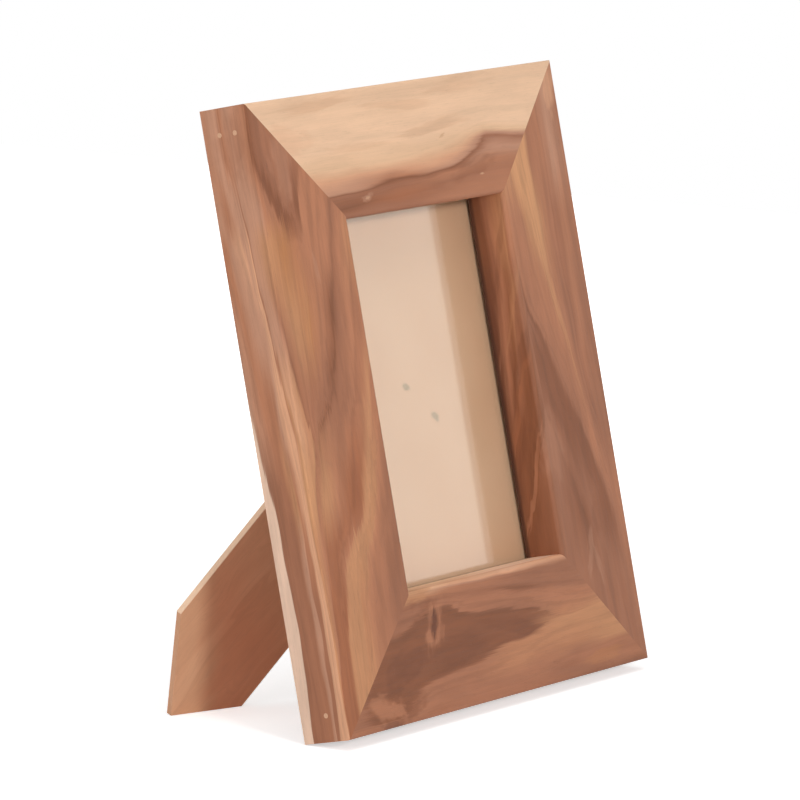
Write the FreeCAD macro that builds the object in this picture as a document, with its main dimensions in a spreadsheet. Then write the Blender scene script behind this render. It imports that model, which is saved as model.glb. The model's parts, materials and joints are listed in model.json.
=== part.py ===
"""Wooden tabletop picture frame that leans back on a hinged easel leg. Millimetres, +Z up.

The origin is on the table, at the middle of the footprint. +X is to the right as seen from the front, and
-Y is the way the frame faces. The frame stands on the back edge of its bottom rail and on the leg's
portrait foot.
"""
import FreeCAD, Part
import math
import os

import Sketcher

Vector = FreeCAD.Vector

doc = FreeCAD.newDocument("EaselFrame")


# ---- Driving sizes ---------------------------------------------------------------------------------------

DRIVING_SIZES = [
    # picture window and rails
    ("picture_width", 120.0, "clear width of the window"),
    ("picture_height", 170.0, "clear height of the window"),
    ("rail_width", 58.0, "rail, from outer face to window"),
    ("outer_thickness", 25.6, "rail, back to front at the outer face"),
    ("inner_thickness", 28.0, "rail, back to front at the window"),
    ("outer_arris", 1.0, "rounding of the outer front edge"),
    ("inner_arris", 2.0, "rounding of the front edge at the window"),
    ("rabbet_width", 6.0, "lip that the glass rests on"),
    ("rabbet_play", 1.0, "room round the glass, sheet and board"),
    ("lean", 11.7, "degrees that the frame leans back"),
    # what the rabbet holds
    ("glass_thickness", 2.0, "pane"),
    ("insert_thickness", 0.3, "paper sheet"),
    ("board_thickness", 5.0, "backing board"),
    ("board_recess", 0.2, "board's back below the rails' back"),
    ("board_corner", 2.0, "corner radius of the board"),
    # hinge
    ("hinge_across", -4.0, "pin's middle, from the frame's centre line"),
    ("hinge_height", 134.0, "pin's middle, above the frame's bottom"),
    ("hinge_slant", 41.0, "degrees that the pin slopes down to the right"),
    ("open_angle", 29.6, "degrees that the leg opens to its stop"),
    ("leaf_length", 40.0, "both leaves, along the pin"),
    ("leaf_thickness", 0.8, "sheet steel of both leaves"),
    ("leaf_reach", 13.0, "both leaves, from the pin to the far edge"),
    ("leaf_corner", 2.5, "corner radius of both leaves"),
    ("roll_angle", 300.0, "degrees that a knuckle is rolled round the pin"),
    ("middle_knuckle", 18.0, "length of the leg leaf's knuckle"),
    ("knuckle_gap", 0.4, "between knuckles, along the pin"),
    ("pin_play", 0.05, "radial room round the pin"),
    ("pin_head_thickness", 0.8, "peened head at each end of the pin"),
    ("pin_head_rim", 0.6, "peened head beyond the pin's radius"),
    ("stop_tab_width", 10.0, "tab that meets the board leaf, along the pin"),
    ("stop_tab_reach", 6.5, "tab, from the pin's centre"),
    ("stop_gap", 0.15, "between the open tab and the board leaf"),
    # rivets
    ("rivet_radius", 1.5, "shank of every rivet"),
    ("rivet_play", 0.05, "radial room round a rivet"),
    ("rivet_head_radius", 2.8, "both heads of every rivet"),
    ("rivet_head_height", 0.9, "domed head on a leaf"),
    ("rivet_foot_height", 0.7, "flat head let into the wood"),
    ("rivet_spacing", 24.0, "between the two rivets of a leaf"),
    ("board_rivet_offset", 7.5, "board rivets, from the pin"),
    ("leg_rivet_offset", 8.5, "leg rivets, from the pin"),
    # leg
    ("leg_width", 62.0, "strut, along the pin"),
    ("leg_thickness", 3.6, "strut"),
    ("leg_pin_gap", 0.4, "between the strut's top edge and the knuckle"),
    ("fold_gap", 0.5, "between the folded leg and the board"),
    ("side_lean", 10.2, "degrees of lean when the frame stands on its left side"),
    ("leg_corner", 1.5, "corner radius of the strut"),
    # turn buttons and their screws
    ("button_length", 26.0, "end to end"),
    ("button_width", 11.0, "across"),
    ("button_thickness", 1.2, "sheet steel"),
    ("button_edge", 0.3, "rounding of the button's outer edges"),
    ("button_setback", 7.0, "screw's centre, from the rabbet"),
    ("screw_radius", 1.6, "shank"),
    ("screw_play", 0.08, "radial room in the button's hole"),
    ("screw_bite", 0.2, "how far the thread bites beyond its pilot hole"),
    ("screw_depth", 13.0, "shank below the rail's back"),
    ("screw_tip", 3.0, "pointed end of the shank"),
    ("screw_head_radius", 3.1, "pan head"),
    ("screw_head_height", 2.0, "pan head"),
    ("screw_head_rounding", 0.9, "pan head's rim"),
    ("screw_head_gap", 0.05, "between head and button"),
    ("driver_slot_length", 3.6, "cross recess, tip to tip"),
    ("driver_slot_width", 0.8, "cross recess"),
    ("driver_slot_depth", 1.1, "cross recess"),
    # brads
    ("nail_radius", 0.8, "shank"),
    ("nail_length", 30.0, "head to point"),
    ("nail_bite", 0.1, "how much smaller its hole is, in radius"),
    ("nail_point", 2.5, "tapered point"),
    ("nail_head_radius", 1.05, "head"),
    ("nail_head_height", 1.0, "head"),
    ("nail_inset", 12.0, "from the end of the rail"),
    ("front_brad_depth", 17.7, "front brad of a top corner, from the rail's back"),
    ("back_brad_depth", 9.0, "back brad of a top corner, from the rail's back"),
    ("bottom_brad_depth", 14.4, "lone brad of a bottom corner, from the rail's back"),
    ("filler_radius", 1.15, "filled hole over a brad"),
    ("filler_depth", 1.8, "filled hole over a brad"),
]

# Each is worked out from the sizes above. The leg's plane is described by two measures: along the pin, which
# slopes down to the right, and down the leg from the pin. In that plane the table is a straight line for each
# way of standing.
WORKED_OUT = [
    ("frame_width", "Sizes.picture_width + 2 * Sizes.rail_width"),
    ("frame_height", "Sizes.picture_height + 2 * Sizes.rail_width"),
    ("rabbet_depth",
     "Sizes.glass_thickness + Sizes.insert_thickness + Sizes.board_thickness + Sizes.board_recess"),
    ("pack_width", "Sizes.picture_width + 2 * (Sizes.rabbet_width - Sizes.rabbet_play)"),
    ("pack_height", "Sizes.picture_height + 2 * (Sizes.rabbet_width - Sizes.rabbet_play)"),
    ("insert_front", "Sizes.board_recess + Sizes.board_thickness + Sizes.insert_thickness"),
    ("board_front", "Sizes.board_recess + Sizes.board_thickness"),
    ("screw_inset", "Sizes.rail_width - Sizes.rabbet_width - Sizes.button_setback"),
    ("knuckle_radius", "(Sizes.fold_gap + Sizes.leg_thickness + Sizes.leaf_thickness) / 2"),
    ("knuckle_bore", "knuckle_radius - Sizes.leaf_thickness"),
    ("pin_radius", "knuckle_bore - Sizes.pin_play"),
    ("pin_back", "knuckle_radius - Sizes.board_recess"),
    ("leg_inner", "Sizes.fold_gap - knuckle_radius"),
    ("leg_outer", "leg_inner + Sizes.leg_thickness"),
    ("leg_start", "knuckle_radius + Sizes.leg_pin_gap"),
    ("portrait_run",
     "cos(Sizes.open_angle) * cos(Sizes.hinge_slant) * cos(Sizes.lean)"
     " + sin(Sizes.open_angle) * sin(Sizes.lean)"),
    ("portrait_rise",
     "sin(Sizes.open_angle) * cos(Sizes.hinge_slant) * cos(Sizes.lean)"
     " - cos(Sizes.open_angle) * sin(Sizes.lean)"),
    ("portrait_reach",
     "(Sizes.hinge_height * cos(Sizes.lean) - pin_back * sin(Sizes.lean)"
     " + leg_inner * portrait_rise) / portrait_run"),
    ("portrait_slope", "sin(Sizes.hinge_slant) * cos(Sizes.lean) / portrait_run"),
    ("side_run",
     "cos(Sizes.open_angle) * sin(Sizes.hinge_slant) * cos(Sizes.side_lean)"
     " + sin(Sizes.open_angle) * sin(Sizes.side_lean)"),
    ("side_rise",
     "sin(Sizes.open_angle) * sin(Sizes.hinge_slant) * cos(Sizes.side_lean)"
     " - cos(Sizes.open_angle) * sin(Sizes.side_lean)"),
    ("side_reach",
     "((frame_width / 2 + Sizes.hinge_across) * cos(Sizes.side_lean) - pin_back * sin(Sizes.side_lean)"
     " + leg_inner * side_rise) / side_run"),
    ("side_slope", "cos(Sizes.hinge_slant) * cos(Sizes.side_lean) / side_run"),
    ("point_along", "(portrait_reach - side_reach) / (portrait_slope + side_slope)"),
    ("point_down", "portrait_reach - portrait_slope * point_along"),
    ("left_edge_down", "side_reach - side_slope * Sizes.leg_width / 2"),
    ("right_edge_down", "portrait_reach - portrait_slope * Sizes.leg_width / 2"),
    ("front_reach", "Sizes.outer_thickness * cos(Sizes.lean)"),
    ("back_reach",
     "pin_back * cos(Sizes.lean) + Sizes.hinge_height * sin(Sizes.lean)"
     " - point_along * sin(Sizes.hinge_slant) * sin(Sizes.lean)"
     " + point_down * (sin(Sizes.open_angle) * cos(Sizes.lean)"
     " - cos(Sizes.open_angle) * cos(Sizes.hinge_slant) * sin(Sizes.lean))"
     " + leg_outer * (sin(Sizes.open_angle) * cos(Sizes.hinge_slant) * sin(Sizes.lean)"
     " + cos(Sizes.open_angle) * cos(Sizes.lean))"),
    ("stand_shift", "(front_reach - back_reach) / 2"),
]

sizes = doc.addObject("Spreadsheet::Sheet", "Sizes")
for row, (name, value, note) in enumerate(DRIVING_SIZES, start=1):
    sizes.set(f"A{row}", name)
    sizes.set(f"B{row}", str(value))
    sizes.set(f"C{row}", note)
    sizes.setAlias(f"B{row}", name)

places = doc.addObject("Spreadsheet::Sheet", "Places")
for row, (name, formula) in enumerate(WORKED_OUT, start=1):
    places.set(f"A{row}", name)
    places.setAlias(f"B{row}", name)
    places.set(f"B{row}", "=" + formula)
doc.recompute()


# ---- Placements ------------------------------------------------------------------------------------------

LEANING = "placement(vector(0; Places.stand_shift; 0); rotation(vector(1; 0; 0); -Sizes.lean))"

# A rail's own frame: origin at the middle of its outer back edge, X along the rail, Z towards the window.
RAIL_PLACES = {
    "bottom": LEANING,
    "top": LEANING + " * placement(vector(0; 0; Places.frame_height); rotation(vector(0; 1; 0); 180))",
    "left": LEANING + " * placement(vector(-Places.frame_width / 2; 0; Places.frame_height / 2);"
                      " rotation(vector(0; 1; 0); 90))",
    "right": LEANING + " * placement(vector(Places.frame_width / 2; 0; Places.frame_height / 2);"
                       " rotation(vector(0; 1; 0); -90))",
}
SIDES = list(RAIL_PLACES)
# The pin's frame: X along the pin, Y out of the board's back, Z up the board away from the leg.
PIN_PLACE = (
    LEANING + " * placement(vector(Sizes.hinge_across; Places.pin_back; Sizes.hinge_height);"
              " rotation(vector(0; 1; 0); Sizes.hinge_slant))"
)
LEG_PLACE = PIN_PLACE + " * placement(vector(0; 0; 0); rotation(vector(1; 0; 0); Sizes.open_angle))"


# ---- Ways of making a piece ------------------------------------------------------------------------------

def value_of(expression):
    """The expression's number at the present sizes."""
    return float(sizes.evalExpression(expression))


def new_body(label, place):
    """A body named for its piece, held at the given place."""
    body = doc.addObject("PartDesign::Body", label)
    body.Label = label
    body.setExpression("Placement", place)
    return body


def new_sketch(body, name, plane, offset="0", turn="0"):
    """A sketch on one of the body's own planes, moved along the plane's normal and turned in it."""
    sketch = body.newObject("Sketcher::SketchObject", f"{body.Name}_{name}")
    support = [feature for feature in body.Origin.OriginFeatures if feature.Role == plane][0]
    sketch.AttachmentSupport = [(support, "")]
    sketch.MapMode = "FlatFace"
    sketch.setExpression(
        "AttachmentOffset", f"placement(vector(0; 0; {offset}); rotation(vector(0; 0; 1); {turn}))")
    return sketch


def bind(sketch, kind, geometry, point, expression):
    """Holds one coordinate of a point of the sketch at an expression."""
    number = sketch.addConstraint(Sketcher.Constraint(kind, -1, 1, geometry, point, value_of(expression)))
    sketch.setExpression(f"Constraints[{number}]", expression)


def draw_outline(sketch, corners, arcs=None):
    """A closed outline through the corners. arcs maps an edge's number to the (across, up) expressions of its
    centre and whether it turns anticlockwise; every other edge is straight."""
    arcs = arcs or {}
    first = sketch.GeometryCount
    count = len(corners)
    points = [Vector(value_of(across), value_of(up), 0) for across, up in corners]
    for i, start in enumerate(points):
        end = points[(i + 1) % count]
        if i not in arcs:
            sketch.addGeometry(Part.LineSegment(start, end), False)
            continue
        (across, up), anticlockwise = arcs[i]
        centre = Vector(value_of(across), value_of(up), 0)
        circle = Part.Circle(centre, Vector(0, 0, 1), start.distanceToPoint(centre))
        ends = (start, end) if anticlockwise else (end, start)
        angles = [math.atan2(p.y - centre.y, p.x - centre.x) for p in ends]
        if angles[1] <= angles[0]:
            angles[1] += 2 * math.pi
        sketch.addGeometry(Part.ArcOfCircle(circle, *angles), False)
    for i in range(count):
        after = (i + 1) % count
        end_point = 1 if i in arcs and not arcs[i][1] else 2
        start_point = 2 if after in arcs and not arcs[after][1] else 1
        joined = Sketcher.Constraint("Coincident", first + i, end_point, first + after, start_point)
        sketch.addConstraint(joined)
    for i, (across, up) in enumerate(corners):
        point = 2 if i in arcs and not arcs[i][1] else 1
        bind(sketch, "DistanceX", first + i, point, across)
        bind(sketch, "DistanceY", first + i, point, up)
        if i in arcs:
            chord = points[(i + 1) % count] - points[i]
            if abs(chord.x) >= abs(chord.y):
                bind(sketch, "DistanceY", first + i, 3, arcs[i][0][1])
            else:
                bind(sketch, "DistanceX", first + i, 3, arcs[i][0][0])


def draw_rectangle(sketch, left, right, bottom, top):
    """A closed rectangle between four expressions."""
    draw_outline(sketch, [(left, bottom), (right, bottom), (right, top), (left, top)])


def draw_circle(sketch, across, up, radius):
    """A circle whose centre and radius are expressions."""
    centre = Vector(value_of(across), value_of(up), 0)
    geometry = sketch.addGeometry(Part.Circle(centre, Vector(0, 0, 1), value_of(radius)), False)
    bind(sketch, "DistanceX", geometry, 3, across)
    bind(sketch, "DistanceY", geometry, 3, up)
    number = sketch.addConstraint(Sketcher.Constraint("Radius", geometry, value_of(radius)))
    sketch.setExpression(f"Constraints[{number}]", radius)


def pad(body, name, sketch, length, both_ways=False, reverse=False):
    """Grows the sketch into the body."""
    feature = body.newObject("PartDesign::Pad", f"{body.Name}_{name}")
    feature.Profile = sketch
    feature.SideType = "Symmetric" if both_ways else "One side"
    feature.Reversed = reverse
    feature.setExpression("Length", length)
    doc.recompute()
    return feature


def cut(body, name, sketch, depth=None, both_ways=False, reverse=False):
    """Cuts the sketch out of the body, to a depth or right through, and checks that it removed something."""
    before = body.Shape.Volume
    feature = body.newObject("PartDesign::Pocket", f"{body.Name}_{name}")
    feature.Profile = sketch
    feature.SideType = "Symmetric" if both_ways else "One side"
    feature.Reversed = reverse
    if depth is None:
        feature.Type = "ThroughAll"
    else:
        feature.setExpression("Length", depth)
    doc.recompute()
    if body.Shape.Volume >= before:
        raise RuntimeError(f"{feature.Name} removed nothing")
    return feature


def round_edges(body, name, base, radius, wanted):
    """Rounds those edges of the base feature that the wanted test picks."""
    edges = base.Shape.Edges
    picked = [f"Edge{i}" for i, edge in enumerate(edges, start=1) if wanted(edge)]
    feature = body.newObject("PartDesign::Fillet", f"{body.Name}_{name}")
    feature.Base = (base, picked)
    feature.setExpression("Radius", radius)
    doc.recompute()
    return feature


def runs_along(edge, axis):
    """Whether a straight edge is parallel to an axis."""
    if not isinstance(edge.Curve, (Part.Line, Part.LineSegment)):
        return False
    return edge.tangentAt(edge.FirstParameter).cross(axis).Length < NEAR


def passes(edge, point_test):
    """Whether the edge's middle satisfies a test on its place."""
    return point_test(edge.valueAt((edge.FirstParameter + edge.LastParameter) / 2))


X_AXIS = Vector(1, 0, 0)
Y_AXIS = Vector(0, 1, 0)
Z_AXIS = Vector(0, 0, 1)
NEAR = 0.01


# ---- Rails -----------------------------------------------------------------------------------------------

# Brads of each corner, by their depth in the rail: two at a top corner, one at a bottom corner.
TOP_NAILS = ["Sizes.back_brad_depth", "Sizes.front_brad_depth"]
BOTTOM_NAILS = ["Sizes.bottom_brad_depth"]


def make_rail(side, outer_length):
    """One length of the moulding: a face that rises slightly towards the window, a rabbet behind it, and
    mitred ends."""
    body = new_body(f"{side}_rail", RAIL_PLACES[side])
    lip = "Sizes.rail_width - Sizes.rabbet_width"
    section = new_sketch(body, "section", "YZ_Plane")
    draw_outline(section, [
        ("0", "0"),
        ("0", lip),
        ("-Places.rabbet_depth", lip),
        ("-Places.rabbet_depth", "Sizes.rail_width"),
        ("-Sizes.inner_thickness", "Sizes.rail_width"),
        ("-Sizes.outer_thickness", "0"),
    ])
    stick = pad(body, "stick", section, outer_length, both_ways=True)

    outer_y = -sizes.outer_thickness
    inner_y = -sizes.inner_thickness
    soft_outside = round_edges(
        body, "outer_arris", stick, "Sizes.outer_arris",
        lambda e: runs_along(e, X_AXIS) and passes(e, lambda p: abs(p.y - outer_y) < NEAR))
    round_edges(
        body, "inner_arris", soft_outside, "Sizes.inner_arris",
        lambda e: runs_along(e, X_AXIS) and passes(e, lambda p: abs(p.y - inner_y) < NEAR))

    mitres = new_sketch(body, "mitres", "XZ_Plane")
    end = f"{outer_length} / 2"
    beyond = f"{end} + Sizes.rail_width"
    for sign in ("-", ""):
        draw_outline(mitres, [
            (f"{sign}({end})", "0"),
            (f"{sign}({beyond})", "0"),
            (f"{sign}({beyond})", "Sizes.rail_width * 2"),
            (f"{sign}({end} - 2 * Sizes.rail_width)", "Sizes.rail_width * 2"),
        ])
    cut(body, "mitre_cuts", mitres, both_ways=True)
    return body


def drill_pilot(body):
    """The hole that a turn button's screw bites into."""
    sketch = new_sketch(body, "pilot", "XZ_Plane")
    draw_circle(sketch, "0", "Places.screw_inset", "Sizes.screw_radius - Sizes.screw_bite")
    cut(body, "pilot_hole", sketch, "Sizes.screw_depth", reverse=True)


def drill_side_nails(body, outer_length, up_is_plus_x):
    """Brad holes through a side rail's outer face near its ends, with a wider mouth for the head and the
    filler."""
    for name, radius, depth in (
        ("nail", "Sizes.nail_radius - Sizes.nail_bite", "2 * Sizes.nail_inset"),
        ("mouth", "Sizes.filler_radius", "Sizes.filler_depth + Sizes.nail_head_height"),
    ):
        sketch = new_sketch(body, name, "XY_Plane")
        for at_top, nails in ((True, TOP_NAILS), (False, BOTTOM_NAILS)):
            sign = "" if at_top == up_is_plus_x else "-"
            for nail in nails:
                draw_circle(sketch, f"{sign}({outer_length} / 2 - Sizes.nail_inset)", f"-{nail}", radius)
        cut(body, f"{name}_holes", sketch, depth, reverse=True)


def drill_end_nails(body, nails):
    """Holes in both ends of a top or bottom rail, which take the points of the brads."""
    start = "Places.frame_width / 2 - Sizes.filler_depth - Sizes.nail_length"
    for name, offset, reverse in (("plus", start, True), ("minus", f"-({start})", False)):
        sketch = new_sketch(body, f"{name}_nails", "YZ_Plane", offset)
        for nail in nails:
            draw_circle(sketch, f"-{nail}", "Sizes.nail_inset", "Sizes.nail_radius - Sizes.nail_bite")
        cut(body, f"{name}_nail_holes", sketch, reverse=reverse)


bodies = []
for side, nails in (("top", TOP_NAILS), ("bottom", BOTTOM_NAILS)):
    rail = make_rail(side, "Places.frame_width")
    drill_pilot(rail)
    drill_end_nails(rail, nails)
    bodies.append(rail)
for side, up_is_plus_x in (("left", False), ("right", True)):
    rail = make_rail(side, "Places.frame_height")
    drill_pilot(rail)
    drill_side_nails(rail, "Places.frame_height", up_is_plus_x)
    bodies.append(rail)


# ---- Glass, sheet and board ------------------------------------------------------------------------------

def make_flat(label, thickness, front):
    """A plain rectangle of sheet that fills the rabbet, with its front at a depth from the rails' back."""
    flat = doc.addObject("Part::Box", label)
    flat.Label = label
    flat.setExpression("Length", "Places.pack_width")
    flat.setExpression("Width", thickness)
    flat.setExpression("Height", "Places.pack_height")
    flat.setExpression(
        "Placement",
        f"{LEANING} * placement(vector(-Places.pack_width / 2; -({front});"
        " (Places.frame_height - Places.pack_height) / 2); rotation(vector(0; 0; 1); 0))")
    return flat


def make_board():
    """The backing board: it fills the rabbet and carries the hinge. Its two rivet holes are stepped, so that
    the rivets' flat heads lie flush behind the sheet."""
    body = new_body("backing_board", PIN_PLACE)
    turned_back = "Sizes.hinge_slant"
    outline = new_sketch(body, "outline", "XZ_Plane", "Places.pin_back + Sizes.board_recess", turned_back)
    across = "Sizes.hinge_across"
    low = "(Places.frame_height - Places.pack_height) / 2 - Sizes.hinge_height"
    draw_rectangle(
        outline, f"-Places.pack_width / 2 - {across}", f"Places.pack_width / 2 - {across}",
        low, f"{low} + Places.pack_height")
    sheet = pad(body, "sheet", outline, "Sizes.board_thickness")
    round_edges(body, "corners", sheet, "Sizes.board_corner", lambda e: runs_along(e, Y_AXIS))
    holes = new_sketch(body, "rivets", "XZ_Plane")
    steps = new_sketch(body, "rivet_steps", "XZ_Plane", "Places.pin_back + Places.board_front")
    for sign in ("-", ""):
        place = (f"{sign}Sizes.rivet_spacing / 2", "Sizes.board_rivet_offset")
        draw_circle(holes, *place, "Sizes.rivet_radius + Sizes.rivet_play")
        draw_circle(steps, *place, "Sizes.rivet_head_radius + Sizes.rivet_play")
    cut(body, "rivet_holes", holes, both_ways=True)
    cut(body, "rivet_recesses", steps, "Sizes.rivet_foot_height")
    return body


bodies.append(make_flat("glass_pane", "Sizes.glass_thickness", "Places.rabbet_depth"))
bodies.append(make_flat("photo_insert", "Sizes.insert_thickness", "Places.insert_front"))
bodies.append(make_board())


# ---- Hinge -----------------------------------------------------------------------------------------------

# A leaf's section is drawn across the pin, in the YZ plane: the sheet lies flat, and its end rolls round the
# pin.
ROLL_END = "Sizes.roll_angle - 90"


def roll_outline(sketch, flat_side):
    """The section of one rolled leaf. flat_side is 1 where the sheet lies under the pin and runs up from it,
    and -1 where it lies over the pin and runs down from it."""
    outer = "Places.knuckle_radius"
    bore = "Places.knuckle_bore"
    s = f"{-flat_side} * "
    corners = [
        (f"{s}{bore}", "0"),
        (f"{s}{bore}", f"{flat_side} * Sizes.leaf_reach"),
        (f"{s}{outer}", f"{flat_side} * Sizes.leaf_reach"),
        (f"{s}{outer}", "0"),
        (f"{s}(-{outer} * sin({ROLL_END}))", f"{flat_side} * (-{outer} * cos({ROLL_END}))"),
        (f"{s}(-{bore} * sin({ROLL_END}))", f"{flat_side} * (-{bore} * cos({ROLL_END}))"),
    ]
    draw_outline(sketch, corners, {
        3: (("0", "0"), True),
        5: (("0", "0"), False),
    })


def make_leaf(label, place, flat_side, rivet_offset, notches):
    """One hinge leaf: the rolled section, notched for the other leaf's knuckles, with two rivet holes."""
    body = new_body(label, place)
    section = new_sketch(body, "section", "YZ_Plane")
    roll_outline(section, flat_side)
    rolled = pad(body, "rolled", section, "Sizes.leaf_length", both_ways=True)
    far = flat_side * sizes.leaf_reach
    round_edges(
        body, "corners", rolled, "Sizes.leaf_corner",
        lambda e: runs_along(e, Y_AXIS) and passes(e, lambda p: abs(p.z - far) < NEAR))
    sketch = new_sketch(body, "notches", "XZ_Plane")
    clear = "(Places.knuckle_radius + Sizes.knuckle_gap)"
    for left, right in notches:
        draw_rectangle(sketch, left, right, f"-{clear}", clear)
    cut(body, "knuckle_notches", sketch, both_ways=True)
    holes = new_sketch(body, "rivets", "XZ_Plane")
    for sign in ("-", ""):
        draw_circle(
            holes, f"{sign}Sizes.rivet_spacing / 2", f"{flat_side} * {rivet_offset}",
            "Sizes.rivet_radius + Sizes.rivet_play")
    cut(body, "rivet_holes", holes, both_ways=True)
    return body


def add_stop_tab(body):
    """The leg leaf's tab. It lies just over the board leaf when the leg is open, and so stops it there."""
    sketch = new_sketch(body, "stop", "YZ_Plane", turn="-Sizes.open_angle")
    under = "(Sizes.leaf_thickness + Sizes.stop_gap - Places.knuckle_radius)"
    draw_rectangle(
        sketch, under, f"{under} + Sizes.leaf_thickness",
        "(Places.knuckle_radius + Places.knuckle_bore) / 2", "Sizes.stop_tab_reach")
    pad(body, "stop_tab", sketch, "Sizes.stop_tab_width", both_ways=True)


HALF_LEAF = "Sizes.leaf_length / 2"
HALF_MIDDLE = "Sizes.middle_knuckle / 2"
GAPPED_MIDDLE = f"({HALF_MIDDLE} + Sizes.knuckle_gap)"
PAST_END = f"({HALF_LEAF} + Sizes.knuckle_gap)"

bodies.append(make_leaf(
    "hinge_board_leaf", PIN_PLACE, 1, "Sizes.board_rivet_offset", [(f"-{GAPPED_MIDDLE}", GAPPED_MIDDLE)]))
leg_leaf = make_leaf(
    "hinge_leg_leaf", LEG_PLACE, -1, "Sizes.leg_rivet_offset",
    [(f"-{PAST_END}", f"-{HALF_MIDDLE}"), (HALF_MIDDLE, PAST_END)])
add_stop_tab(leg_leaf)
bodies.append(leg_leaf)


def make_pin():
    """The hinge pin, peened over at both ends."""
    body = new_body("hinge_pin", PIN_PLACE)
    sketch = new_sketch(body, "section", "XY_Plane")
    end = PAST_END
    tip = f"({end} + Sizes.pin_head_thickness)"
    head = "(Places.pin_radius + Sizes.pin_head_rim)"
    draw_outline(sketch, [
        (f"-{tip}", "0"),
        (tip, "0"),
        (tip, "Places.pin_radius"),
        (end, head),
        (end, "Places.pin_radius"),
        (f"-{end}", "Places.pin_radius"),
        (f"-{end}", head),
        (f"-{tip}", "Places.pin_radius"),
    ])
    turned = body.newObject("PartDesign::Revolution", "hinge_pin_turned")
    turned.Profile = sketch
    turned.ReferenceAxis = (sketch, ["H_Axis"])
    turned.Angle = 360
    doc.recompute()
    return body


bodies.append(make_pin())


# ---- Rivets, screws, brads and fillers: groups and turned pieces -----------------------------------------

def turned_solid(profile, base, direction):
    """A solid turned from (height, radius) points about an axis through base, with height along direction."""
    points = [Vector(radius, 0, height) for height, radius in profile]
    closing = [Vector(0, 0, profile[-1][0]), Vector(0, 0, profile[0][0])]
    wire = Part.makePolygon(points + closing + points[:1])
    solid = Part.Face(wire).revolve(Vector(0, 0, 0), Z_AXIS, 360)
    solid.Placement = FreeCAD.Placement(base, FreeCAD.Rotation(Z_AXIS, direction))
    return solid


def make_group(label, solids, place):
    """Several alike solids as one piece. Their places are in the frame that the place expression gives."""
    feature = doc.addObject("Part::Feature", label)
    feature.Label = label
    feature.Shape = Part.makeCompound(solids)
    feature.Placement = FreeCAD.Placement()
    feature.setExpression("Placement", place)
    return feature


def rivet_profile(grip):
    """A rivet from its flat head, let into the wood, up to its domed head on the leaf."""
    shank = sizes.rivet_radius
    head = sizes.rivet_head_radius
    foot = sizes.rivet_foot_height
    dome = sizes.rivet_head_height
    steps = 8
    curve = [
        (grip + dome * math.sin(math.pi / 2 * i / steps), head * math.cos(math.pi / 2 * i / steps))
        for i in range(steps)
    ]
    return [(0, head), (foot, head), (foot, shank), (grip, shank)] + curve + [(grip + dome, 0.0)]


def make_rivets(label, place, wood_face, wood_thickness, height):
    """Two rivets through wood and leaf."""
    grip = wood_thickness + sizes.leaf_thickness
    solids = [
        turned_solid(rivet_profile(grip), Vector(sign * sizes.rivet_spacing / 2, wood_face, height), Y_AXIS)
        for sign in (-1, 1)
    ]
    return make_group(label, solids, place)


bodies.append(make_rivets(
    "board_rivets", PIN_PLACE, -(places.pin_back + places.board_front), sizes.board_thickness,
    sizes.board_rivet_offset))
bodies.append(make_rivets(
    "leg_rivets", LEG_PLACE, places.leg_inner, sizes.leg_thickness, -sizes.leg_rivet_offset))


def nail_sites():
    """Where each brad enters: (which side, depth from the back, height), in the leaning frame."""
    for side in (-1, 1):
        for depth in (sizes.back_brad_depth, sizes.front_brad_depth):
            yield side, depth, places.frame_height - sizes.nail_inset
        yield side, sizes.bottom_brad_depth, sizes.nail_inset


def make_side_group(label, profile, depth_in):
    """One turned solid at every brad's place, starting at a depth in the side face and pointing inwards."""
    across = places.frame_width / 2 - depth_in
    solids = [
        turned_solid(profile, Vector(side * across, -depth, height), X_AXIS * -side)
        for side, depth, height in nail_sites()
    ]
    return make_group(label, solids, LEANING)


nail_profile = [
    (0, sizes.nail_head_radius),
    (sizes.nail_head_height, sizes.nail_head_radius),
    (sizes.nail_head_height, sizes.nail_radius),
    (sizes.nail_length - sizes.nail_point, sizes.nail_radius),
    (sizes.nail_length, 0.0),
]
filler_profile = [(0, sizes.filler_radius), (sizes.filler_depth, sizes.filler_radius)]
bodies.append(make_side_group("corner_nails", nail_profile, sizes.filler_depth))
bodies.append(make_side_group("nail_fillers", filler_profile, 0.0))


# ---- Leg -------------------------------------------------------------------------------------------------

def make_leg():
    """The easel strut: flat board with a right-angled point. One edge of the point is the portrait foot and
    the other is the landscape foot, each lying along the table when the leg is open."""
    body = new_body("easel_leg", LEG_PLACE)
    outline = new_sketch(body, "outline", "XZ_Plane", "-Places.leg_inner")
    half = "Sizes.leg_width / 2"
    draw_outline(outline, [
        (f"-{half}", "-Places.leg_start"),
        (f"-{half}", "-Places.left_edge_down"),
        ("Places.point_along", "-Places.point_down"),
        (half, "-Places.right_edge_down"),
        (half, "-Places.leg_start"),
    ])
    strut = pad(body, "strut", outline, "Sizes.leg_thickness", reverse=True)
    top = -places.leg_start
    round_edges(
        body, "top_corners", strut, "Sizes.leg_corner",
        lambda e: runs_along(e, Y_AXIS) and passes(e, lambda p: abs(p.z - top) < NEAR))
    holes = new_sketch(body, "rivets", "XZ_Plane")
    steps = new_sketch(body, "rivet_steps", "XZ_Plane", "-Places.leg_inner")
    for sign in ("-", ""):
        place = (f"{sign}Sizes.rivet_spacing / 2", "-Sizes.leg_rivet_offset")
        draw_circle(holes, *place, "Sizes.rivet_radius + Sizes.rivet_play")
        draw_circle(steps, *place, "Sizes.rivet_head_radius + Sizes.rivet_play")
    cut(body, "rivet_holes", holes, both_ways=True)
    cut(body, "rivet_recesses", steps, "Sizes.rivet_foot_height")
    return body


bodies.append(make_leg())


# ---- Turn buttons and their screws -----------------------------------------------------------------------

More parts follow.
